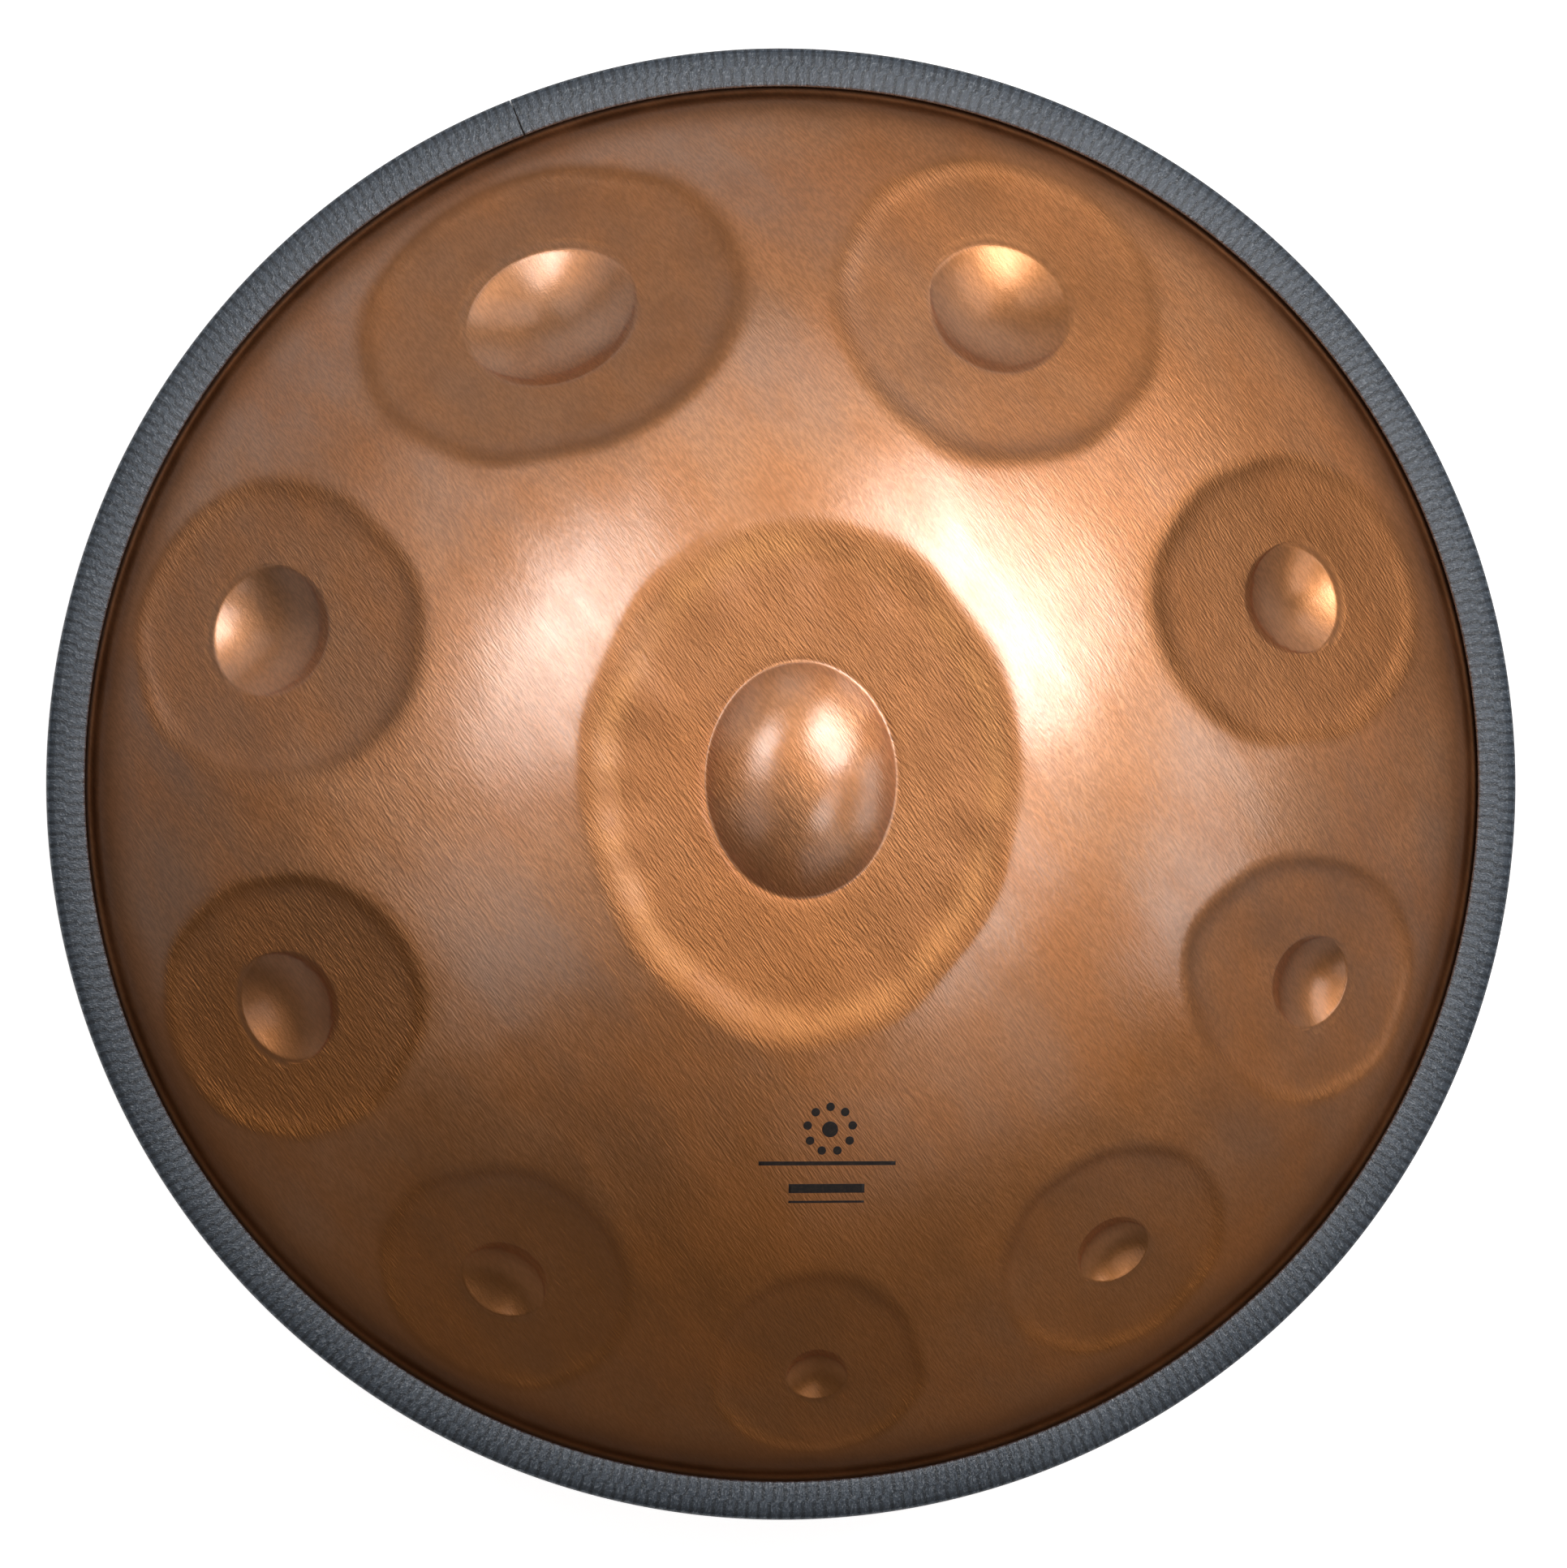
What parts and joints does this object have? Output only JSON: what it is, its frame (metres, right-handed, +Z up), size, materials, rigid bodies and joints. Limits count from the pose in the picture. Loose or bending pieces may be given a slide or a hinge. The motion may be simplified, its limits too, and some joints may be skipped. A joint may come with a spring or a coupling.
{
  "type": "handpan",
  "caption": "Steel hand drum of two shallow shells, with a domed centre note, pitted tone fields round it, a port underneath and a U-shaped edge trim.",
  "frame": {"origin": "under the centre of the instrument, on the plane that the port's folded ring rests on", "axes": "+Z up through the ding's dome, +Y towards the two largest tone fields, +X to the player's right when the two largest fields are at the top"},
  "size_m": [0.535, 0.535, 0.2307],
  "materials": {
    "bronzed_steel": "heat-bronzed steel, finely brushed, semi-matt",
    "adhesive": "dark cured adhesive",
    "trim_vinyl": "blue-grey vinyl with a leather grain and close ribs",
    "core_steel": "bare strip steel"
  },
  "bodies": {
    "root": {"top_shell": "bronzed_steel", "bottom_shell": "bronzed_steel", "seam_adhesive": "adhesive", "edge_trim_cover": "trim_vinyl", "edge_trim_core": "core_steel"}
  },
  "joints": []
}
